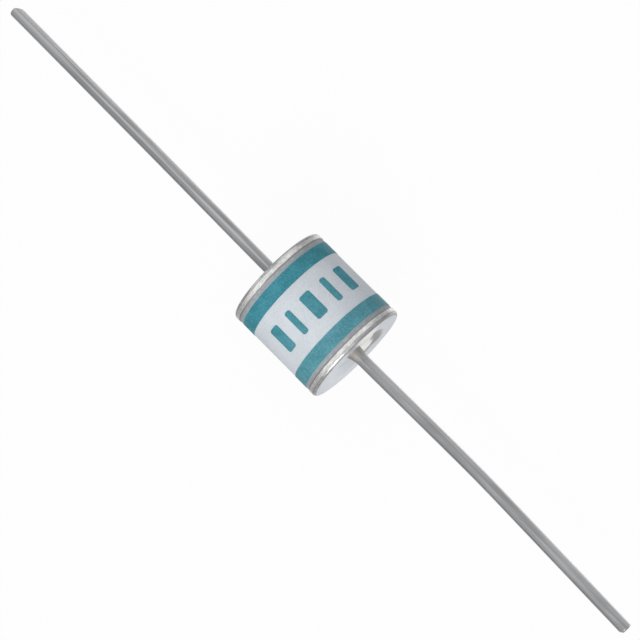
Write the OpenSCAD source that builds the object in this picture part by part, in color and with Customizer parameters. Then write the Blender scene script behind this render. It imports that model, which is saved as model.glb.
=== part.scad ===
// Gas discharge tube: a sealed spark gap in a ceramic tube, with a wire lead welded to each end.
// The tube's axis is X, the origin is the middle of the body, and the tube lies on its two metal rims.

/* [Body] */
// Length of the body over its two end faces
body_len = 7.9; // [6:0.1:12]
// Diameter of the electrode rims, the widest part of the body
rim_d = 8; // [7:0.1:10]
// Height of the rims above the ceramic
rim_step = 0.04; // [0.03:0.01:0.1]

/* [Ceramic tube] */
// Wall of the ceramic tube
tube_wall = 1; // [0.7:0.05:1.3]
// Chamfer round both ends of the ceramic tube
tube_chamfer = 0.16; // [0.08:0.02:0.3]

/* [Electrodes] */
// Thickness of the electrode's rim
rim_t = 0.56; // [0.4:0.02:0.8]
// Rounding of the rim at the end face
rim_round = 0.24; // [0.05:0.01:0.3]
// Rounding of the rim beside the braze
rim_back_round = 0.07; // [0.03:0.01:0.15]
// Diameter of the weld recess at the end face
recess_d = 5; // [3.5:0.1:5.5]
// Depth of the weld recess
recess_depth = 0.42; // [0.1:0.02:0.5]
// Radius that the recess loses from its mouth to its floor
recess_slope = 0.55; // [0.1:0.05:0.8]
// Gap between the bore and the root of the boss
boss_gap = 0.25; // [0.1:0.05:0.5]
// Radius that the boss loses from its root to its tip
boss_draft = 0.35; // [0.1:0.05:0.6]
// Chamfer round the tip of the boss
boss_chamfer = 0.25; // [0.1:0.05:0.4]
// Distance between the tips of the two bosses
spark_gap = 1; // [0.4:0.1:2]

/* [Emission coating] */
// Bare border between the coating and the chamfer of the boss
coating_border = 0.35; // [0.1:0.05:0.6]
// Thickness of the coating in its pocket
coating_t = 0.12; // [0.05:0.01:0.3]

/* [Brazed joint] */
// Thickness of the braze between rim and ceramic
braze_t = 0.05; // [0.03:0.01:0.1]
// Distance from the bore to the inner edge of the braze
braze_setback = 0.1; // [0.05:0.05:0.3]
// Depth to which the braze's outer face is dished
braze_dish = 0.03; // [0.01:0.01:0.05]

/* [Ignition stripes] */
// Number of graphite stripes round the bore
stripe_count = 4; // [2:1:8]
// Length of each stripe
stripe_len = 4.2; // [2:0.1:4.6]
// Width of each stripe, round the bore
stripe_w = 0.4; // [0.2:0.05:0.8]
// Thickness of each stripe
stripe_t = 0.02; // [0.01:0.01:0.05]

/* [Printed bands] */
// Width of each band
band_w = 1.04; // [0.5:0.02:1.6]
// Bare ceramic and braze between a band and the rim beside it
band_margin = 0.35; // [0.3:0.01:0.6]
// Distance of the print from the middle of the body, along X
print_shift = 0.02; // [-0.1:0.01:0.1]
// Thickness of the ink
ink_t = 0.02; // [0.01:0.005:0.025]

/* [Leads] */
// Diameter of the wire
wire_d = 0.9; // [0.6:0.05:1.2]
// Reach of the left lead beyond its end face
left_lead_len = 26.6; // [18:0.1:40]
// Reach of the right lead beyond its end face
right_lead_len = 25.8; // [18:0.1:40]
// Radius of the fillet that the weld leaves round the wire's foot
weld_fillet = 0.28; // [0.1:0.02:0.4]
// Thickness of the weld at the fillet's outer edge
weld_edge = 0.03; // [0.01:0.01:0.1]
// Distance from the tube's axis to the right lead, along Y
right_lead_offset = 0.07; // [-0.2:0.01:0.2]
// Straight length of each lead before its first bend
stub_len = 1; // [0.5:0.1:2]
// Length of wire in the first bend
lean_len = 0.6; // [0.4:0.1:1.5]
// Angle of the left lead's first bend
left_lean = 0.53; // [-3:0.01:3]
// Angle of the right lead's first bend
right_lean = 0.43; // [-3:0.01:3]
// Distance from the end face to the second bend
bow_start = 9.5; // [6:0.1:12]
// Length of wire in the second bend
bow_len = 4.5; // [2:0.1:5]
// Angle of the left lead's second bend
left_bow = -0.2; // [-4:0.01:4]
// Angle of the right lead's second bend
right_bow = -1.94; // [-4:0.01:4]
// Width of the bevel left on the left lead's tip by the cutter
left_bevel = 0.45; // [0.1:0.05:0.5]
// Width of the bevel left on the right lead's tip by the cutter
right_bevel = 0.2; // [0.1:0.05:0.5]

/* [Hidden] */
$fn = 96;

rim_r = rim_d / 2;
tube_r = rim_r - rim_step;
bore_r = tube_r - tube_wall;
wire_r = wire_d / 2;

// Places along X, measured from the middle of the body
face_x = body_len / 2;
rim_back_x = face_x - rim_t;
tube_end_x = rim_back_x - braze_t;
recess_floor_x = face_x - recess_depth;
boss_tip_x = spark_gap / 2;

recess_r = recess_d / 2;
recess_floor_r = recess_r - recess_slope;
boss_root_r = bore_r - boss_gap;
boss_tip_r = boss_root_r - boss_draft;
coating_r = boss_tip_r - boss_chamfer - coating_border;
braze_in_r = bore_r + braze_setback;
braze_out_r = rim_r - rim_back_round;

rise_len = bow_start - stub_len - lean_len;

// Turns the Z axis onto the tube's axis
module along_x() {
    rotate([0, 90, 0])
        children();
}

// Revolves a profile of radius and place along X
module turned() {
    along_x()
        rotate_extrude()
            children();
}

module on_left() {
    mirror([1, 0, 0])
        children();
}

// What a rounding takes off a corner that points to +X and +Y, seen from the rounding's centre
module corner_waste(r) {
    difference() {
        square(2 * r);
        circle(r);
    }
}

module ceramic_tube() {
    color("gainsboro")
        turned()
            difference() {
                translate([bore_r, -tube_end_x])
                    square([tube_wall, 2 * tube_end_x]);
                for (side = [0, 1])
                    mirror([0, side])
                        polygon([
                            [tube_r - tube_chamfer, tube_end_x],
                            [tube_r, tube_end_x - tube_chamfer],
                            [tube_r + tube_chamfer, tube_end_x]
                        ]);
            }
}

module electrode() {
    color("silver")
        turned()
            difference() {
                union() {
                    translate([0, rim_back_x])
                        square([rim_r, rim_t]);
                    polygon([
                        [0, boss_tip_x],
                        [boss_tip_r - boss_chamfer, boss_tip_x],
                        [boss_tip_r, boss_tip_x + boss_chamfer],
                        [boss_root_r, rim_back_x],
                        [0, rim_back_x]
                    ]);
                }
                translate([rim_r - rim_round, face_x - rim_round])
                    corner_waste(rim_round);
                translate([rim_r - rim_back_round, rim_back_x + rim_back_round])
                    mirror([0, 1])
                        corner_waste(rim_back_round);
                weld_recess();
                coating_pocket();
            }
}

// Profile of the shallow recess in the end face
module weld_recess() {
    polygon([
        [0, recess_floor_x],
        [recess_floor_r, recess_floor_x],
        [recess_r, face_x],
        [0, face_x]
    ]);
}

// Profile of the pocket that holds the emission coating
module coating_pocket() {
    translate([0, boss_tip_x])
        square([coating_r, coating_t]);
}

module emission_coating() {
    color("dimgray")
        turned()
            coating_pocket();
}

// A washer between rim and ceramic that also fills the ceramic's chamfer, with a dished outer face
module braze_ring() {
    foot = [tube_r, tube_end_x - tube_chamfer];
    top = [braze_out_r, rim_back_x];
    chord = norm(top - foot);
    dish_r = (chord * chord / 4 + braze_dish * braze_dish) / (2 * braze_dish);
    outward = [top[1] - foot[1], foot[0] - top[0]] / chord;
    color("gray")
        turned()
            difference() {
                polygon([
                    [braze_in_r, tube_end_x],
                    [tube_r - tube_chamfer, tube_end_x],
                    foot,
                    top,
                    [braze_in_r, rim_back_x]
                ]);
                translate((foot + top) / 2 + outward * (dish_r - braze_dish))
                    circle(dish_r);
            }
}

module ignition_stripe(i) {
    span = stripe_w / bore_r * 180 / PI;
    color("black")
        along_x()
            rotate(i * 360 / stripe_count - span / 2)
                rotate_extrude(angle = span)
                    translate([bore_r - stripe_t, -stripe_len / 2])
                        square([stripe_t, stripe_len]);
}

// A thin sleeve of ink on the ceramic, on the side of +X if side is 1
module print_band(side) {
    inner_x = rim_back_x - band_margin - band_w;
    color("teal")
        translate([print_shift, 0, 0])
            mirror([side < 0 ? 1 : 0, 0, 0])
                turned()
                    translate([tube_r, inner_x])
                        square([ink_t, band_w]);
}

module straight_wire(length) {
    along_x()
        cylinder(d = wire_d, h = length);
}

// A wire from the origin along +X that turns through an angle towards +Y
module curved_wire(length, angle) {
    bend_r = length / (abs(angle) * PI / 180);
    rotate([angle < 0 ? 180 : 0, 0, 0])
        translate([0, bend_r, 0])
            rotate(-90)
                rotate_extrude(angle = abs(angle))
                    translate([bend_r, 0])
                        circle(d = wire_d);
}

// Carries its children to the end of a curved wire
module past_curve(length, angle) {
    bend_r = length / (angle * PI / 180);
    translate([bend_r * sin(angle), bend_r * (1 - cos(angle)), 0])
        rotate(angle)
            children();
}

// One run of a lead, straight where its angle is 0, with its children at its end
module wire_run(length, angle) {
    if (angle == 0) {
        straight_wire(length);
        translate([length, 0, 0])
            children();
    } else {
        curved_wire(length, angle);
        past_curve(length, angle)
            children();
    }
}

// The foot of a lead, which the weld has spread over the recess's floor, and its straight stub
module welded_foot(length) {
    foot_r = wire_r + weld_fillet;
    along_x()
        rotate_extrude()
            difference() {
                union() {
                    square([wire_r, length]);
                    square([foot_r, weld_edge + weld_fillet]);
                }
                translate([foot_r, weld_edge + weld_fillet])
                    circle(weld_fillet);
            }
}

// The last run of a lead, with a bevel across its tip on the side of +Y if side is 1
module cut_tip(length, bevel, side) {
    difference() {
        straight_wire(length);
        translate([length, side * (wire_r - bevel), 0])
            rotate(side * 45)
                translate([0, -wire_d, -wire_d])
                    cube(2 * wire_d);
    }
}

module lead(length, offset, lean, bow, bevel, bevel_side) {
    foot_len = recess_depth + stub_len;
    tip_len = length - bow_start - bow_len;
    color("lightgray")
        translate([recess_floor_x, offset, 0]) {
            welded_foot(foot_len);
            translate([foot_len, 0, 0])
                wire_run(lean_len, lean)
                    wire_run(rise_len, 0)
                        wire_run(bow_len, bow)
                            cut_tip(tip_len, bevel, bevel_side);
        }
}

module left_lead() {
    lead(left_lead_len, 0, left_lean, left_bow, left_bevel, 1);
}

module right_lead() {
    lead(right_lead_len, right_lead_offset, right_lean, right_bow, right_bevel, -1);
}

ceramic_tube();
on_left() electrode();  // left_electrode
electrode();  // right_electrode
on_left() braze_ring();  // left_braze_ring
braze_ring();  // right_braze_ring
on_left() emission_coating();  // left_emission_coating
emission_coating();  // right_emission_coating
for (i = [1:stripe_count]) {
    ignition_stripe(i);
}
print_band(-1);  // left_print_band
print_band(1);  // right_print_band
on_left() left_lead();
right_lead();
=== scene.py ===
import math

import bpy
from mathutils import Matrix, Vector


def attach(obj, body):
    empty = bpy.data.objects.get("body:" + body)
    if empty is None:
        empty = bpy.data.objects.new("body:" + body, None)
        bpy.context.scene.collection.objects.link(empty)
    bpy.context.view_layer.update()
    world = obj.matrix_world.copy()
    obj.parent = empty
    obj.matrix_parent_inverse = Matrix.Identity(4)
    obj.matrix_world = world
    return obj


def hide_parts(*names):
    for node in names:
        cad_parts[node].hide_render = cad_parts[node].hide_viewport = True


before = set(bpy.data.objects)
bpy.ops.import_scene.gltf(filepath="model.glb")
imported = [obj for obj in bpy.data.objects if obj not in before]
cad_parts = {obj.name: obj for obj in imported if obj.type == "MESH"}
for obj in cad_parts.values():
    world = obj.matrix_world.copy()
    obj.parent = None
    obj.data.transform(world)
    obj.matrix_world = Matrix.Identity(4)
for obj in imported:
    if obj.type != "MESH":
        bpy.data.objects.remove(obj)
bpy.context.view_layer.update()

# Ceramic tube
# A sleeve of white alumina, pressed from powder, fired hard and ground round, with a chamfer at both ends.
# Each end carries a grey metal coat, painted on and fired in so that braze wets it, which laps onto the outside.
MM = 0.001
tube_r = 3.96
bore_r = 2.96
tube_end_x = 3.34
tube_chamfer = 0.16
metal_coat_x = 3.0
tube_steps = 256
sharp_bend = math.radians(35)
bend_step = math.radians(12)
merge_gap = 0.0001 * MM


class Flow:
    """A socket of a node tree. Sums on it add Math nodes, and node() adds any other node."""

    def __init__(self, tree, socket=None):
        self.tree = tree
        self.socket = socket

    def node(self, kind, settings=None, sockets=None, out=0):
        made = self.tree.nodes.new(kind)
        for name, value in (settings or {}).items():
            setattr(made, name, value)
        for name, value in (sockets or {}).items():
            if isinstance(value, Flow):
                self.tree.links.new(value.socket, made.inputs[name])
            else:
                made.inputs[name].default_value = value
        return Flow(self.tree, made.outputs[out])

    def beside(self, out):
        """Another output of the same node."""
        return Flow(self.tree, self.socket.node.outputs[out])

    def into(self, node, name):
        self.tree.links.new(self.socket, node.inputs[name])

    def sum(self, operation, first, second=0.0):
        return self.node("ShaderNodeMath", {"operation": operation}, {0: first, 1: second})

    def __add__(self, other):
        return self.sum("ADD", self, other)

    def __radd__(self, other):
        return self.sum("ADD", other, self)

    def __sub__(self, other):
        return self.sum("SUBTRACT", self, other)

    def __rsub__(self, other):
        return self.sum("SUBTRACT", other, self)

    def __mul__(self, other):
        return self.sum("MULTIPLY", self, other)

    def __rmul__(self, other):
        return self.sum("MULTIPLY", other, self)

    def __truediv__(self, other):
        return self.sum("DIVIDE", self, other)

    def __rtruediv__(self, other):
        return self.sum("DIVIDE", other, self)


def start_recipe(name, inputs):
    """Starts a tree of geometry nodes with named inputs, and returns it with a flow for each input."""
    tree = bpy.data.node_groups.new(name, "GeometryNodeTree")
    tree.interface.new_socket("Piece", in_out="OUTPUT", socket_type="NodeSocketGeometry")
    for label, kind in inputs:
        tree.interface.new_socket(label, in_out="INPUT", socket_type="NodeSocket" + kind)
    entry = tree.nodes.new("NodeGroupInput")
    return tree, [Flow(tree, entry.outputs[label]) for label, kind in inputs]


def end_recipe(skin, finish):
    """Shades all but the sharp edges smooth, and gives the piece its finish."""
    bend = skin.node("GeometryNodeInputMeshEdgeAngle")
    soft = skin.sum("LESS_THAN", bend, sharp_bend)
    for domain, smooth in (("FACE", True), ("EDGE", soft)):
        sockets = {"Geometry": skin, "Shade Smooth": smooth}
        skin = skin.node("GeometryNodeSetShadeSmooth", {"domain": domain}, sockets)
    skin = skin.node("GeometryNodeRealizeInstances", None, {"Geometry": skin})
    skin = skin.node("GeometryNodeSetMaterial", None, {"Geometry": skin, "Material": finish})
    skin.into(skin.tree.nodes.new("NodeGroupOutput"), "Piece")


def spin(outline, steps, ripple):
    """Adds the nodes that spin an outline's points round X. A point strays by noise as far as its give says."""
    stations = outline.node("GeometryNodeAttributeDomainSize", None, {"Geometry": outline}, "Point Count")
    grid = {"Vertices X": stations, "Vertices Y": steps + 1}
    skin = outline.node("GeometryNodeMeshGrid", None, grid, "Mesh")
    index = outline.node("GeometryNodeInputIndex")
    row = index.sum("FLOOR", (index + 0.5) / (steps + 1))
    angle = (index - row * (steps + 1)) / steps * math.tau

    def on_outline(field):
        place = {"Geometry": outline, "Value": field, "Index": row}
        sample = outline.node("GeometryNodeSampleIndex", {"data_type": "FLOAT_VECTOR"}, place)
        return outline.node("ShaderNodeSeparateXYZ", None, {0: sample}, "X")

    along = on_outline(outline.node("GeometryNodeInputPosition"))
    radius = along.beside("Z")
    give = outline.node("GeometryNodeInputNamedAttribute", {"data_type": "FLOAT_VECTOR"}, {"Name": "give"})
    give = on_outline(give)
    cosine = outline.sum("COSINE", angle)
    sine = outline.sum("SINE", angle)
    spot = outline.node("ShaderNodeCombineXYZ", None, {0: along, 1: radius * cosine, 2: radius * sine})
    noise = outline.node("ShaderNodeTexNoise", None, {"Vector": spot, "Scale": ripple, "Detail": 2.0}, "Color")
    stray = outline.node("ShaderNodeSeparateXYZ", None, {0: noise}, "X")
    along = along + (stray - 0.5) * 2 * give
    radius = radius + (stray.beside("Z") - 0.5) * 2 * give.beside("Z")
    spot = outline.node("ShaderNodeCombineXYZ", None, {0: along, 1: radius * cosine, 2: 0 - radius * sine})
    skin = skin.node("GeometryNodeSetPosition", None, {"Geometry": skin, "Position": spot})
    return skin.node("GeometryNodeMergeByDistance", None, {"Geometry": skin, "Distance": merge_gap})


turning, (outline, steps, ripple, finish) = start_recipe(
    "turning", [("Outline", "Geometry"), ("Steps", "Int"), ("Ripple", "Float"), ("Finish", "Material")])
end_recipe(spin(outline, steps, ripple), finish)


def ease(corners):
    """Rounds each corner (along, radius, rounding) and sets points close beside each bend, to keep flats flat."""
    points = []
    for i, (x, r, rounding) in enumerate(corners):
        here = Vector((x, r))
        sides = []
        for j in (i - 1, i + 1):
            side = Vector(corners[j][:2]) - here if 0 <= j < len(corners) else Vector((0, 0))
            sides.append((side.normalized(), side.length))
        (back, back_len), (ahead, ahead_len) = sides
        if rounding:
            half = back.angle(ahead) / 2
            cut = rounding / math.tan(half)
            centre = here + (back + ahead).normalized() * rounding / math.sin(half)
            start = here + back * cut - centre
            sweep = start.angle_signed(here + ahead * cut - centre)
            bends = max(3, math.ceil(abs(sweep) / bend_step))
            curve = [centre + Matrix.Rotation(-sweep * k / bends, 2) @ start for k in range(bends + 1)]
        else:
            cut = 0
            curve = [here]
        near = 0.02
        if back_len > cut + 4 * near:
            points.append(here + back * (cut + near))
        points.extend(curve)
        if ahead_len > cut + 4 * near:
            points.append(here + ahead * (cut + near))
    return points


def draw_outline(points, give=lambda along, radius: (0, 0)):
    """A turned piece's outline as a mesh of loose points, each with its give along and across, all in mm."""
    mesh = bpy.data.meshes.new("outline")
    mesh.from_pydata([(p[0] * MM, 0, p[1] * MM) for p in points], [], [])
    gives = mesh.attributes.new("give", "FLOAT_VECTOR", "POINT")
    for point, entry in zip(points, gives.data):
        along, across = give(*point)
        entry.vector = (along * MM, 0, across * MM)
    return mesh


def make(name, recipe, mesh, sizes):
    """Runs a recipe on a mesh and keeps the result as the piece's own plain mesh."""
    piece = bpy.data.objects.new(name, mesh)
    bpy.context.scene.collection.objects.link(piece)
    modifier = piece.modifiers.new("recipe", "NODES")
    modifier.node_group = recipe
    for item in recipe.interface.items_tree:
        if item.in_out == "INPUT" and item.name in sizes:
            modifier[item.identifier] = sizes[item.name]
    ready = piece.evaluated_get(bpy.context.evaluated_depsgraph_get())
    piece.data = bpy.data.meshes.new_from_object(ready)
    piece.data.name = name
    piece.modifiers.clear()
    bpy.data.meshes.remove(mesh)
    return piece


def settle(piece, slot, *nodes):
    """Puts a finished piece in the place of the CAD nodes it stands for."""
    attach(piece, "root")
    if nodes:
        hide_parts(*nodes)


def start_finish(name):
    """A new material, its shader, and the place on the surface in mm."""
    material = bpy.data.materials.new(name)
    material.use_nodes = True
    shader = material.node_tree.nodes["Principled BSDF"]
    spot = Flow(material.node_tree).node("ShaderNodeTexCoord", out="Object")
    spot = spot.node("ShaderNodeVectorMath", {"operation": "SCALE"}, {0: spot, "Scale": 1 / MM})
    return material, shader, spot


def split(place):
    """The three parts of a place: along the tube, sideways and up."""
    along = place.node("ShaderNodeSeparateXYZ", None, {0: place})
    return along, along.beside("Y"), along.beside("Z")


def from_middle(place):
    """How far along the tube a place lies from its middle."""
    along = split(place)[0]
    return along.sum("ABSOLUTE", along)


def grain(spot, scale, detail=2.0):
    """Noise from 0 to 1 with about as many grains a mm as the scale says, which may differ by axis."""
    if isinstance(scale, tuple):
        spot = spot.node("ShaderNodeVectorMath", {"operation": "MULTIPLY"}, {0: spot, 1: scale})
        scale = 1.0
    return spot.node("ShaderNodeTexNoise", None, {"Vector": spot, "Scale": scale, "Detail": detail})


def ramp(value, low, high):
    """Goes smoothly from 0 to 1 as the value goes from low to high."""
    ends = {"Value": value, "From Min": low, "From Max": high}
    return value.node("ShaderNodeMapRange", {"interpolation_type": "SMOOTHSTEP"}, ends)


def tint(share, first, second):
    """Mixes two colours, each a flow or three numbers."""
    pair = [c if isinstance(c, Flow) else (*c, 1.0) for c in (first, second)]
    return share.node("ShaderNodeMix", {"data_type": "RGBA"}, {0: share, 6: pair[0], 7: pair[1]}, 2)


def emboss(height, depth, shader):
    """Bumps the surface by a height from 0 to 1, as deep as given in mm."""
    sockets = {"Height": height, "Distance": depth * MM, "Strength": 1.0}
    height.node("ShaderNodeBump", None, sockets).into(shader, "Normal")


fired, shader, spot = start_finish("fired alumina")
reach = from_middle(spot)
speck = grain(spot, 9.0)
cloud = grain(spot, 0.6)
ground_lines = grain(spot, (22.0, 0.5, 0.5))
tone = ramp(speck * 0.5 + cloud * 0.35 + ground_lines * 0.15, 0.36, 0.64)
white = tint(tone, (0.59, 0.64, 0.685), (0.685, 0.73, 0.775))
smudge = ramp(grain(spot, 0.8, 4.0), 0.58, 0.8)
white = tint(smudge * 0.12, white, (0.42, 0.44, 0.46))
lap = ramp(reach + (grain(spot, 2.5) - 0.5) * 0.06, metal_coat_x - 0.03, metal_coat_x + 0.03)
metal_coat = tint(ramp(speck * 0.5 + cloud * 0.5, 0.3, 0.7), (0.30, 0.33, 0.355), (0.38, 0.41, 0.44))
tint(lap, white, metal_coat).into(shader, "Base Color")
shader.inputs["Specular IOR Level"].default_value = 0.3
(0.5 + speck * 0.16).into(shader, "Roughness")
emboss(speck * 0.6 + ground_lines * 0.4, 0.006, shader)

tube = make("fired_tube", turning, draw_outline(ease([
    (-tube_end_x, bore_r, 0),
    (-tube_end_x, tube_r - tube_chamfer, 0),
    (-tube_end_x + tube_chamfer, tube_r, 0),
    (tube_end_x - tube_chamfer, tube_r, 0),
    (tube_end_x, tube_r - tube_chamfer, 0),
    (tube_end_x, bore_r, 0),
    (-tube_end_x, bore_r, 0),
])), {"Steps": tube_steps, "Ripple": 500.0, "Finish": fired})
settle(tube, "ceramic", "ceramic_tube")

# Ignition stripes
# Four lines of graphite, drawn along the bore with a soft lead before the tube is closed. They help the first
# spark across the gap, and nothing of them shows from outside.
stripe_count = 4

graphite, shader, spot = start_finish("rubbed graphite")
streak = grain(spot, (1.5, 14.0, 14.0), 4.0)
tint(streak, (0.012, 0.012, 0.014), (0.05, 0.05, 0.053)).into(shader, "Base Color")
(0.38 + streak * 0.3).into(shader, "Roughness")
emboss(streak, 0.004, shader)
for i in range(1, stripe_count + 1):
    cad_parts[f"ignition_stripe_{i}"].data.materials[0] = graphite

# Electrodes
# Two plated copper caps, coined from rod, each with a rim as wide as the tube, a dished weld recess in its end face
# and a tapered boss in the bore, where the two bosses face each other across the spark gap. The plate's tone varies
# in patches, and the weld's heat has browned the middle of each recess. Light and shade are painted onto the plate:
# a highlight near each rim's back edge, shade and a dark reflection along its front edge, the end face darker on
# its
# +Y side, and a pale reflection in the +Y side of the recess and on the face above it.
rim_r = 4.0
rim_back_x = 3.39
rim_back_round = 0.03
rim_round = 0.24
rim_stray = 0.005
rim_station = 0.08
face_x = 3.95
recess_r = 2.5
recess_floor_r = 1.95
recess_floor_x = 3.53
mouth_round = 0.45
floor_round = 0.12
boss_root_r = 2.71
boss_tip_r = 2.36
boss_tip_x = 0.5
boss_chamfer = 0.25
pocket_r = 1.76
pocket_depth = 0.12
cap_steps = 288

plated, shader, spot = start_finish("tin plate on copper")
sideways, height = split(spot)[1:]
reach = from_middle(spot)
flat = spot.node("ShaderNodeVectorMath", {"operation": "MULTIPLY"}, {0: spot, 1: (0, 1, 1)})
from_axis = flat.node("ShaderNodeVectorMath", {"operation": "LENGTH"}, {0: flat}, "Value")
crinkle = grain(spot, (11.0, 3.5, 3.5), 4.0)
patches = grain(spot, 1.3, 3.0)
tone = ramp(crinkle * 0.65 + patches * 0.35, 0.36, 0.66)
# Painted shade: the end face's grey is lighter towards -Y and darker towards +Y, broken up by patches of tone.
face_grey_and_side_shade = tint(ramp(sideways + (patches - 0.5) * 2.0, -2.8, 2.8), (0.70, 0.735, 0.775), (0.605, 0.635, 0.675))
on_rim = ramp(from_axis, rim_r - 0.26, rim_r - 0.2)
rim_silver = tint(tone, (0.58, 0.58, 0.575), (0.95, 0.95, 0.94))
silver = tint(on_rim, face_grey_and_side_shade, rim_silver)


def between(value, start, full, fade, end):
    """Rises from 0 at start to 1 at full, and falls from 1 at fade to 0 at end."""
    return ramp(value, start, full) * (1 - ramp(value, fade, end))


uneven = reach + (patches - 0.5) * 0.05
# Painted highlight: a bright band on the rim just in front of its back edge.
back_highlight = between(uneven, rim_back_x + 0.05, rim_back_x + 0.08, rim_back_x + 0.18, rim_back_x + 0.32) * on_rim
silver = tint(back_highlight * (0.25 + tone * 0.5), silver, (0.99, 0.99, 0.98))
# Painted shade: the front part of the rim greyer towards +Y.
front_shade = ramp(reach + (patches - 0.5) * 0.1, face_x - 0.34, face_x - 0.14) * on_rim
silver = tint(front_shade * ramp(sideways, -1.5, 1.5) * 0.3, silver, (0.42, 0.42, 0.42))
# Painted shade: a grey band on the front fillet, which cuts the fillet's highlight down to a thin line.
edge_shade = between(uneven, face_x - 0.25, face_x - 0.21, face_x - 0.16, face_x - 0.14) * on_rim
silver = tint(edge_shade * 0.62, silver, (0.33, 0.33, 0.33))
# Painted dark reflection along the front fillet, stronger towards +Y, and painted shade in the crease at the rim's
# back edge.
edge_dark_reflection = ramp(reach, face_x - 0.13, face_x - 0.09) * ramp(from_axis, rim_r - 0.23, rim_r - 0.19)
edge_dark_reflection = edge_dark_reflection * (0.45 + ramp(sideways, -2.0, 1.0) * 0.45)
back_crease_shade = (1 - ramp(reach + (patches - 0.5) * 0.06, rim_back_x + 0.02, rim_back_x + 0.06)) * on_rim
silver = tint(edge_dark_reflection + back_crease_shade * 0.7, silver, (0.33, 0.33, 0.335))


def pale_patch(y, z, half_y, half_z):
    """A soft patch round a place on the end face, with an uneven edge, for painted reflection."""
    off_y = (sideways - y) / half_y
    off_z = (height - z) / half_z
    return 1 - ramp(off_y * off_y + off_z * off_z + (patches - 0.5) * 0.9, 0.3, 1.9)


in_dish = 1 - ramp(from_axis, recess_r - 0.02, recess_r + 0.12)
in_dish = in_dish * ramp(reach, recess_floor_x - 0.13, recess_floor_x - 0.03)
cream = tint(tone, (0.90, 0.89, 0.85), (0.98, 0.97, 0.93))
# Painted reflection: the recess pale cream on its +Y side, where the plate is also made less metallic.
dish_reflection = pale_patch(1.0, -0.6, 0.95, 1.7)
dish = tint(dish_reflection * (1 - ramp(reach, face_x - 0.12, face_x - 0.05)), face_grey_and_side_shade, cream)
# Painted shade: a dark line under the recess's mouth on its +Y half, and the +Y end of the recess wall darkened,
# most towards the top.
mouth_shade = between(reach, face_x - 0.21, face_x - 0.16, face_x - 0.11, face_x - 0.05) * ramp(sideways, -0.6, 0.6)
wall_shade = ramp(reach, recess_floor_x + 0.02, recess_floor_x + 0.08) * (0.4 + ramp(height, -1.9, -0.9) * 0.6)
wall_shade = wall_shade * ramp(sideways + (patches - 0.5) * 0.9, 1.3, 2.2) * (1 - ramp(sideways, 2.1, 2.6) * 0.6)
dish = tint(ramp(mouth_shade * 0.75 + wall_shade, 0.0, 1.0), dish, (0.34, 0.34, 0.335))
# Painted reflection: a pale cream patch on the end face above the recess.
face_reflection = pale_patch(0.8, 2.9, 1.0, 0.9) * (1 - ramp(from_axis, rim_r - 0.5, rim_r - 0.3))
silver = tint(in_dish, tint(face_reflection * 0.8, silver, cream), dish)
burn = (1 - ramp(from_axis + (patches - 0.5) * 0.5, 0.7, 1.1)) * in_dish
tint(burn * 0.65, silver, (0.50, 0.44, 0.37)).into(shader, "Base Color")
(1 - dish_reflection * in_dish * 0.45).into(shader, "Metallic")
(0.34 + crinkle * 0.14 - on_rim * 0.1 - in_dish * 0.06).into(shader, "Roughness")
emboss(crinkle * (0.15 + on_rim * 0.85), 0.012, shader)

cap_outline = ease([
    (boss_tip_x + pocket_depth, 0, 0),
    (boss_tip_x + pocket_depth, pocket_r, 0),
    (boss_tip_x, pocket_r, 0),
    (boss_tip_x, boss_tip_r - boss_chamfer, 0),
    (boss_tip_x + boss_chamfer, boss_tip_r, 0),
    (rim_back_x, boss_root_r, 0),
    (rim_back_x, rim_r - rim_stray, rim_back_round),
    *[(rim_back_x + rim_station * k, rim_r - rim_stray, 0) for k in range(1, 4)],
    (face_x, rim_r - rim_stray, rim_round),
    (face_x, recess_r, mouth_round),
    (recess_floor_x, recess_floor_r, floor_round),
    (recess_floor_x, 0, 0),
])


def on_left(points):
    """The same outline at the tube's left end."""
    return [(-x, r) for x, r in reversed(points)]


def rim_give(along, radius):
    """Only the rim strays, where it was handled."""
    return (2 * rim_stray, rim_stray) if radius > rim_r - 0.4 else (0, 0)


for side, points in (("left", on_left(cap_outline)), ("right", cap_outline)):
    cap = make(side + "_cap", turning, draw_outline(points, rim_give),
               {"Steps": cap_steps, "Ripple": 550.0, "Finish": plated})
    settle(cap, "electrode", side + "_electrode")

# Emission coatings
# A thin cake of emitting compound, pressed into the pocket in each boss's tip. It is dull and dark, and it faces
# the other electrode inside the sealed tube.
compound, shader, spot = start_finish("pressed emitting compound")
crumb = grain(spot, 12.0, 4.0)
tint(crumb, (0.05, 0.05, 0.055), (0.16, 0.155, 0.15)).into(shader, "Base Color")
(0.75 + crumb * 0.2).into(shader, "Roughness")
emboss(crumb, 0.02, shader)
for side in ("left", "right"):
    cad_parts[side + "_emission_coating"].data.materials[0] = compound

# Braze rings
# The joint between each rim and the metal coat on the ceramic: a washer of silver solder that melts in the furnace,
# seals the gas in, and sets with a dished, slightly uneven outer face.
braze_in_r = 3.06
braze_dish = 0.012
dish_points = 6

solder, shader, spot = start_finish("furnace braze")
mottle = grain(spot, 3.0, 3.0)
reach = from_middle(spot)
joint_grey = tint(ramp(mottle, 0.3, 0.7), (0.31, 0.335, 0.355), (0.42, 0.445, 0.465))
# Painted shade: the braze grows darker towards the crease at the rim's back edge.
rim_side_shade = ramp(reach + (mottle - 0.5) * 0.1, tube_end_x - 0.01, rim_back_x - 0.01)
tint(rim_side_shade * 0.8, joint_grey, (0.16, 0.165, 0.17)).into(shader, "Base Color")
shader.inputs["Metallic"].default_value = 0.3
(0.42 + mottle * 0.2).into(shader, "Roughness")
emboss(mottle, 0.012, shader)

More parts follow.
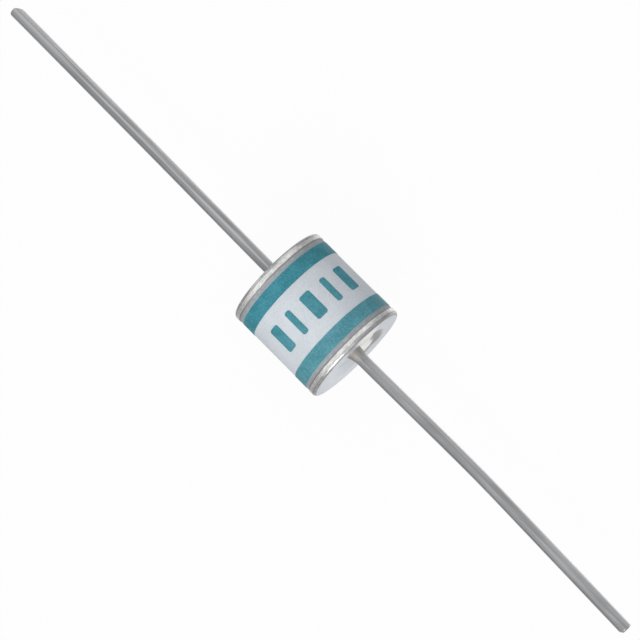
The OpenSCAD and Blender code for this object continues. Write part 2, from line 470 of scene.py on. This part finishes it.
foot = Vector((tube_end_x - tube_chamfer, tube_r))
top = Vector((rim_back_x, rim_r - rim_back_round))
across = top - foot
inward = Vector((across.y, -across.x)).normalized()
hollow = [foot + across * k / dish_points + inward * braze_dish * 4 * (k / dish_points) * (1 - k / dish_points)
          for k in range(dish_points + 1)]
ring_outline = [
    Vector((tube_end_x, braze_in_r)),
    Vector((tube_end_x, tube_r - tube_chamfer)),
    *hollow,
    Vector((rim_back_x, braze_in_r)),
    Vector((tube_end_x, braze_in_r)),
]
for side, points in (("left", on_left(ring_outline)), ("right", ring_outline)):
    ring = make(side + "_braze", turning, draw_outline(points),
                {"Steps": tube_steps, "Ripple": 900.0, "Finish": solder})
    settle(ring, "braze", side + "_braze_ring")

# Leads
# Tinned copper wire, drawn smooth, butt welded to the floor of each recess and cut off by a blade that bevels one
# side of the tip. The weld's bead lies to one side and its heat has browned the foot. Handling has bent the wires
# a little. Light and shade are painted along each wire: one flank lighter and the other darker, bands of painted
# reflection between, and a painted sheen along the lit edge.
wire_r = 0.45
wire_steps = 48
wire_stray = 0.002
weld_flare = 0.22
weld_flare_len = 0.95
weld_curve = 1.7
weld_edge = 0.03
weld_lean = 0.7
weld_stray = 0.03
tip_run = 1.0
tip_round = 0.12
tip_ring_r = 0.25
stub_len = 1.0
lean_len = 0.6
bow_start = 9.5
bow_len = 4.5
path_stride = 0.05

tinned, shader, spot = start_finish("tinned wire")
reach = from_middle(spot)
on_left_wire = 1 - ramp(split(spot)[0], -1.0, 1.0)
flank = spot.node("ShaderNodeAttribute", {"attribute_name": "flank"}, None, "Fac")
drawn = grain(spot, (0.15, 9.0, 9.0), 3.0)
dull = grain(spot, (0.35, 1.2, 1.2), 2.0)
tone = ramp(drawn * 0.7 + dull * 0.3, 0.40, 0.60)
# Painted light and shade: the wire lighter on one flank and darker on the other, with a slight lift at the far
# edge.
lit_flank_grey = tint(tone, (0.49, 0.495, 0.505), (0.70, 0.705, 0.72))
shaded_flank_grey = tint(tone, (0.29, 0.293, 0.297), (0.41, 0.413, 0.42))
grey = tint(ramp(flank, -0.6, 0.25), lit_flank_grey, shaded_flank_grey)
grey = tint(ramp(flank, 0.35, 0.8) * 0.35, grey, (0.48, 0.485, 0.495))


def painted_band(place, half):
    """A painted band of reflection along the wire, fading to both sides."""
    return 1 - ramp(flank.sum("ABSOLUTE", flank - place), 0.0, half)


# Painted reflections: dark and light bands along the wire, stronger on the left wire.
grey = tint(painted_band(-0.26, 0.28) * (0.12 + on_left_wire * 0.34), grey, (0.10, 0.10, 0.10))
grey = tint(painted_band(0.2, 0.26) * (0.08 + on_left_wire * 0.3), grey, (0.85, 0.85, 0.86))
grey = tint(painted_band(0.58, 0.22) * 0.16, grey, (0.12, 0.12, 0.12))
# Painted sheen: a pale band along the edge of the lit flank.
grey = tint(ramp(flank, -0.42, -0.8), grey, (0.88, 0.88, 0.91))
burn = 1 - ramp(reach + (grain(spot, 1.5) - 0.5) * 0.8, face_x - 0.2, face_x + 0.8)
tint(burn * 0.75, grey, (0.43, 0.40, 0.365)).into(shader, "Base Color")
shader.inputs["Metallic"].default_value = 1.0
(0.32 + drawn * 0.12 + burn * 0.3).into(shader, "Roughness")
emboss(drawn, 0.008, shader)

wiring, (outline, path, steps, ripple, length, bevel, side, finish) = start_recipe("wiring", [
    ("Outline", "Geometry"), ("Path", "Object"), ("Steps", "Int"), ("Ripple", "Float"), ("Length", "Float"),
    ("Bevel", "Float"), ("Side", "Float"), ("Finish", "Material")])
skin = spin(outline, steps, ripple)
along, sideways, height = split(skin.node("GeometryNodeInputPosition"))
proud = along.sum("MAXIMUM", sideways * side - wire_r * MM, 0.0)
sideways = sideways - proud * side * weld_lean
cut_off = along.sum("MAXIMUM", bevel - wire_r * MM - sideways, 0.0)
near_tip = along.sum("MAXIMUM", (along - length) / (tip_run * MM) + 1, 0.0)
travel = along - cut_off * near_tip
route = path.node("GeometryNodeObjectInfo", {"transform_space": "ORIGINAL"}, {"Object": path}, "Geometry")
route = route.node("GeometryNodeMeshToCurve", None, {"Mesh": route})
sample = {"Curves": route, "Length": travel}
on_route = route.node("GeometryNodeSampleCurve", {"mode": "LENGTH"}, sample, "Position")
heading = on_route.beside("Tangent")
across = heading.node("ShaderNodeVectorMath", {"operation": "CROSS_PRODUCT"}, {0: (0, 0, 1), 1: heading})
across = across.node("ShaderNodeVectorMath", {"operation": "SCALE"}, {0: across, "Scale": sideways})
upward = height.node("ShaderNodeCombineXYZ", None, {2: height})
spot = across.node("ShaderNodeVectorMath", {"operation": "ADD"}, {0: across, 1: upward})
spot = spot.node("ShaderNodeVectorMath", {"operation": "ADD"}, {0: spot, 1: on_route})
skin = skin.node("GeometryNodeStoreNamedAttribute", {"data_type": "FLOAT"}, {
    "Geometry": skin, "Name": "flank", "Value": 0 - sideways * side / (wire_r * MM)})
skin = skin.node("GeometryNodeSetPosition", None, {"Geometry": skin, "Position": spot})
end_recipe(skin, finish)


def wire_path(side, offset, runs):
    """A polyline from the recess's floor through straight and bent runs, each a length and an angle in degrees."""
    points = []
    x, y, heading = recess_floor_x, offset, 0.0
    for run, turn in runs:
        strides = round(run / path_stride)
        for k in range(strides):
            points.append((side * x * MM, y * MM, 0))
            middle = heading + math.radians(turn) * (k + 0.5) / strides
            x += run / strides * math.cos(middle)
            y += run / strides * math.sin(middle)
        heading += math.radians(turn)
    points.append((side * x * MM, y * MM, 0))
    mesh = bpy.data.meshes.new("path")
    mesh.from_pydata(points, [(k, k + 1) for k in range(len(points) - 1)], [])
    return bpy.data.objects.new("path", mesh)


def wire_outline(length):
    """A straight wire's outline, from the weld's foot to a tip with a rounded edge."""
    flare_spans, shaft_spans, tip_spans = 14, 90, 6
    flare = [(weld_edge + weld_flare_len * t, wire_r + weld_flare * (1 - t) ** weld_curve)
             for t in [k / flare_spans for k in range(flare_spans + 1)]]
    start = flare[-1][0] + 0.1
    run = length - tip_round - 0.03 - start
    shaft = [(start + run * k / shaft_spans, wire_r) for k in range(shaft_spans + 1)]
    tip = [(length - tip_round * (1 - math.sin(t)), wire_r - tip_round * (1 - math.cos(t)))
           for t in [math.radians(90 / tip_spans * k) for k in range(tip_spans + 1)]]
    return [(0, 0), (0, wire_r + weld_flare), *flare, *shaft, *tip, (length, tip_ring_r), (length, 0)]


def wire_give(along, radius):
    """The weld is lumpy towards its foot, and the drawn wire hardly strays."""
    if not radius:
        return 0, 0
    if 0 < along < 0.9 * weld_flare_len:
        return 0, weld_stray * (1 - along / weld_flare_len)
    return 0, wire_stray


foot_len = face_x - recess_floor_x
for name, side, lead_len, offset, lean, bow, bevel in (
        ("left", -1, 26.6, 0, 0.53, -0.2, 0.45), ("right", 1, 25.8, 0.07, 0.43, -1.94, 0.2)):
    path = wire_path(side, offset, [
        (foot_len + stub_len, 0), (lean_len, lean), (bow_start - stub_len - lean_len, 0), (bow_len, bow),
        (lead_len - bow_start - bow_len, 0)])
    wire = make(name + "_wire", wiring, draw_outline(wire_outline(foot_len + lead_len), wire_give), {
        "Path": path, "Steps": wire_steps, "Ripple": 1500.0, "Length": (foot_len + lead_len) * MM,
        "Bevel": bevel * MM, "Side": float(side), "Finish": tinned})
    bpy.data.objects.remove(path)
    settle(wire, "lead_wire", name + "_lead")

# Printed bands
# Two rings of teal ink, rolled onto the ceramic near its ends. The ink is thin and matte, a little uneven in
# strength, and its edges wander slightly where the roller left them.
ink_t = 0.02
band_w = 1.04
print_shift = 0.02
band_inner_x = 2.0
band_steps = 480
ink_stray = 0.022

teal, shader, spot = start_finish("rolled teal ink")
speck = grain(spot, 8.0, 2.0)
cloud = grain(spot, 1.1, 3.0)
tone = ramp(speck * 0.6 + cloud * 0.4, 0.36, 0.64)
strong = tint(tone, (0.016, 0.190, 0.248), (0.042, 0.283, 0.354))
weak = tint(tone, (0.048, 0.238, 0.292), (0.102, 0.338, 0.404))
ink_colour = tint(ramp(split(spot)[0], -2.6, 2.6), strong, weak)
thin = ramp(grain(spot, 4.5, 1.0), 0.70, 0.80)
tint(thin * 0.3, ink_colour, (0.30, 0.48, 0.53)).into(shader, "Base Color")
(0.46 + speck * 0.16).into(shader, "Roughness")
emboss(speck, 0.004, shader)


def ink_give(along, radius):
    """The ink's edges wander along the tube."""
    return ink_stray, 0


for name, inner_x in (("left", -band_inner_x - band_w), ("right", band_inner_x)):
    low = inner_x + print_shift
    high = low + band_w
    points = [(low, tube_r), (low, tube_r + ink_t), (high, tube_r + ink_t), (high, tube_r), (low, tube_r)]
    band = make(name + "_band", turning, draw_outline(points, ink_give),
                {"Steps": band_steps, "Ripple": 2200.0, "Finish": teal})
    settle(band, "ink", name + "_print_band")

# Printed bars
# A row of plain bars between the bands, printed with the same ink and in the same pass, wide and narrow by turns.
# They are fields of colour only.
bar_len = 2.0
bar_wide = 0.9
bar_narrow = 0.495
bar_corner = 0.14
bar_count = 5
bar_pitch = 24.0
bar_turn = 4.0

stamping, (outline, count, pitch, turn, bar_l, wide, narrow, corner, ink, finish) = start_recipe("stamping", [
    ("Outline", "Geometry"), ("Count", "Int"), ("Pitch", "Float"), ("Turn", "Float"), ("Length", "Float"),
    ("Wide", "Float"), ("Narrow", "Float"), ("Corner", "Float"), ("Ink", "Float"), ("Finish", "Material")])
rows, columns = 25, 13
index = outline.node("GeometryNodeInputIndex")


def bar(width):
    """Adds the nodes that lay one bar with round corners on the tube's top."""
    sheet = outline.node("GeometryNodeMeshGrid", None, {
        "Size X": 2.0, "Size Y": 2.0, "Vertices X": rows, "Vertices Y": columns}, "Mesh")
    end_share, side_share = split(sheet.node("GeometryNodeInputPosition"))[:2]
    along = end_share * bar_l / 2
    past = sheet.sum("MAXIMUM", sheet.sum("ABSOLUTE", along) - (bar_l / 2 - corner), 0.0)
    lost = corner - sheet.sum("SQRT", sheet.sum("MAXIMUM", corner * corner - past * past, 0.0))
    radius = tube_r * MM
    angle = side_share * (width / 2 - lost) / radius
    spot = sheet.node("ShaderNodeCombineXYZ", None, {
        0: along + print_shift * MM, 1: sheet.sum("SINE", angle) * radius, 2: sheet.sum("COSINE", angle) * radius})
    return sheet.node("GeometryNodeSetPosition", None, {"Geometry": sheet, "Position": spot})


wide_bar = bar(wide)
narrow_bar = bar(narrow)
pair = outline.node("GeometryNodeGeometryToInstance", None, {"Geometry": narrow_bar})
pair.tree.links.new(wide_bar.socket, pair.socket.node.inputs[0])
spots = outline.node("GeometryNodeMeshLine", None, {"Count": count, "Offset": (0, 0, 0)})
turned_by = (index - (count - 1) / 2) * pitch + turn
facing = outline.node("ShaderNodeCombineXYZ", None, {0: turned_by})
every_other = index.sum("MODULO", index, 2.0)
under = outline.node("GeometryNodeInstanceOnPoints", None, {
    "Points": spots, "Instance": pair, "Pick Instance": True, "Instance Index": every_other, "Rotation": facing})
under = under.node("GeometryNodeRealizeInstances", None, {"Geometry": under})
raised = under.node("GeometryNodeExtrudeMesh", {"mode": "FACES"}, {
    "Mesh": under, "Offset Scale": ink, "Individual": False})
under = under.node("GeometryNodeFlipFaces", None, {"Mesh": under})
bars = raised.node("GeometryNodeJoinGeometry", None, {"Geometry": raised})
under.into(bars.socket.node, "Geometry")
end_recipe(bars.node("GeometryNodeMergeByDistance", None, {"Geometry": bars, "Distance": merge_gap}), finish)

mark = make("printed_bars", stamping, bpy.data.meshes.new("outline"), {
    "Count": bar_count, "Pitch": math.radians(bar_pitch), "Turn": math.radians(bar_turn), "Length": bar_len * MM,
    "Wide": bar_wide * MM, "Narrow": bar_narrow * MM, "Corner": bar_corner * MM, "Ink": ink_t * MM,
    "Finish": teal})
settle(mark, "ink")

# Floor
# A plain white sheet under the tube, which lies on its two rims. The lens sees it nearly full white, metal sees it
# bright only beside the tube and greyer further off, and a share of its own shading keeps the shadow.
floor_z = -rim_r * MM
floor_half = 1.5
glow_for_lens = 0.94
glow_for_metal = 0.7

floor_mesh = bpy.data.meshes.new("floor")
corners = [(-1, -1), (1, -1), (1, 1), (-1, 1)]
floor_mesh.from_pydata([(x * floor_half, y * floor_half, floor_z) for x, y in corners], [], [(0, 1, 2, 3)])
floor = bpy.data.objects.new("floor", floor_mesh)
bpy.context.scene.collection.objects.link(floor)
paper = bpy.data.materials.new("white paper")
paper.use_nodes = True
nodes = paper.node_tree.nodes
nodes["Principled BSDF"].inputs["Roughness"].default_value = 0.9
ray = Flow(paper.node_tree).node("ShaderNodeLightPath", out="Is Camera Ray")
in_metal = ray.beside("Is Glossy Ray") + ray.beside("Is Transmission Ray")
sideways = split(ray.node("ShaderNodeTexCoord", out="Object"))[1]
beside_tube = between(sideways, -7 * MM, -1 * MM, 9 * MM, 16 * MM)
share = ray * glow_for_lens + in_metal * beside_tube * glow_for_metal
shade = tint(ray.sum("MAXIMUM", ray, beside_tube), (0.45, 0.45, 0.45), (0.9, 0.9, 0.9))
shade.into(nodes["Principled BSDF"], "Base Color")
shaded = Flow(paper.node_tree, nodes["Principled BSDF"].outputs[0])
glow = ray.node("ShaderNodeEmission", None, {"Color": (1, 1, 1, 1), "Strength": 1.0})
sheet = ray.node("ShaderNodeMixShader", None, {0: share, 1: shaded, 2: glow})
sheet.into(nodes["Material Output"], "Surface")
floor_mesh.materials.append(paper)

# Light
# A pale tent, brightest overhead and towards the front, a large soft lamp at the front right, and a weaker one at
# the back left that fills the shadows.
tent_low = 0.34
tent_rise = 0.47
tent_for_metal = 0.15
tent_bright_way = (0.05, -0.7, 0.71)

tent = bpy.data.worlds.new("tent")
tent.use_nodes = True
bpy.context.scene.world = tent
sky = Flow(tent.node_tree).node("ShaderNodeTexCoord", out="Generated")
lift = sky.node("ShaderNodeVectorMath", {"operation": "DOT_PRODUCT"}, {0: sky, 1: tent_bright_way}, "Value")
level = tent_low + ramp(lift, -0.7, 1.0) * tent_rise
ray = sky.node("ShaderNodeLightPath", out="Is Camera Ray")
share = ray + ray.beside("Is Transmission Ray") + ray.beside("Is Glossy Ray") * tent_for_metal
(level + (1 - level) * share).into(tent.node_tree.nodes["Background"], "Strength")
tent.node_tree.nodes["Background"].inputs["Color"].default_value = (1.0, 1.0, 1.0, 1.0)


def soft_lamp(name, place, size, watts):
    """A square lamp that faces the tube's middle."""
    data = bpy.data.lights.new(name, "AREA")
    data.size = size
    data.energy = watts
    lamp = bpy.data.objects.new(name, data)
    lamp.location = place
    lamp.rotation_euler = Vector(place).to_track_quat("Z", "Y").to_euler()
    bpy.context.scene.collection.objects.link(lamp)


soft_lamp("front", (0.28, -0.34, 0.26), 0.30, 0.95)
soft_lamp("fill", (-0.3, 0.3, 0.3), 0.35, 0.3)

# Camera
# It looks down on the tube from the right end's side, near enough for the far lead to look thinner. Its place and
# lens were fitted to the leads' perspective and to the body's outline.
azimuth = math.radians(45.73)
elevation = math.radians(77.1)
distance = 170.6 * MM
focal_px = 2499.0
picture_px = 640
aim_right = 0.249 * MM
aim_down = 0.344 * MM

right = Vector((math.cos(azimuth), math.sin(azimuth), 0))
back = Vector((math.sin(azimuth) * math.cos(elevation), -math.cos(azimuth) * math.cos(elevation),
               math.sin(elevation)))
up = back.cross(right)
aim = right * aim_right - up * aim_down
lens = bpy.data.cameras.new("camera")
lens.sensor_width = 36.0
lens.lens = focal_px / picture_px * lens.sensor_width
lens.clip_start = 0.005
camera = bpy.data.objects.new("camera", lens)
stance = Matrix((right, up, back)).transposed().to_4x4()
camera.matrix_world = Matrix.Translation(aim + back * distance) @ stance
bpy.context.scene.collection.objects.link(camera)
bpy.context.scene.camera = camera
bpy.context.scene.view_settings.view_transform = "Standard"
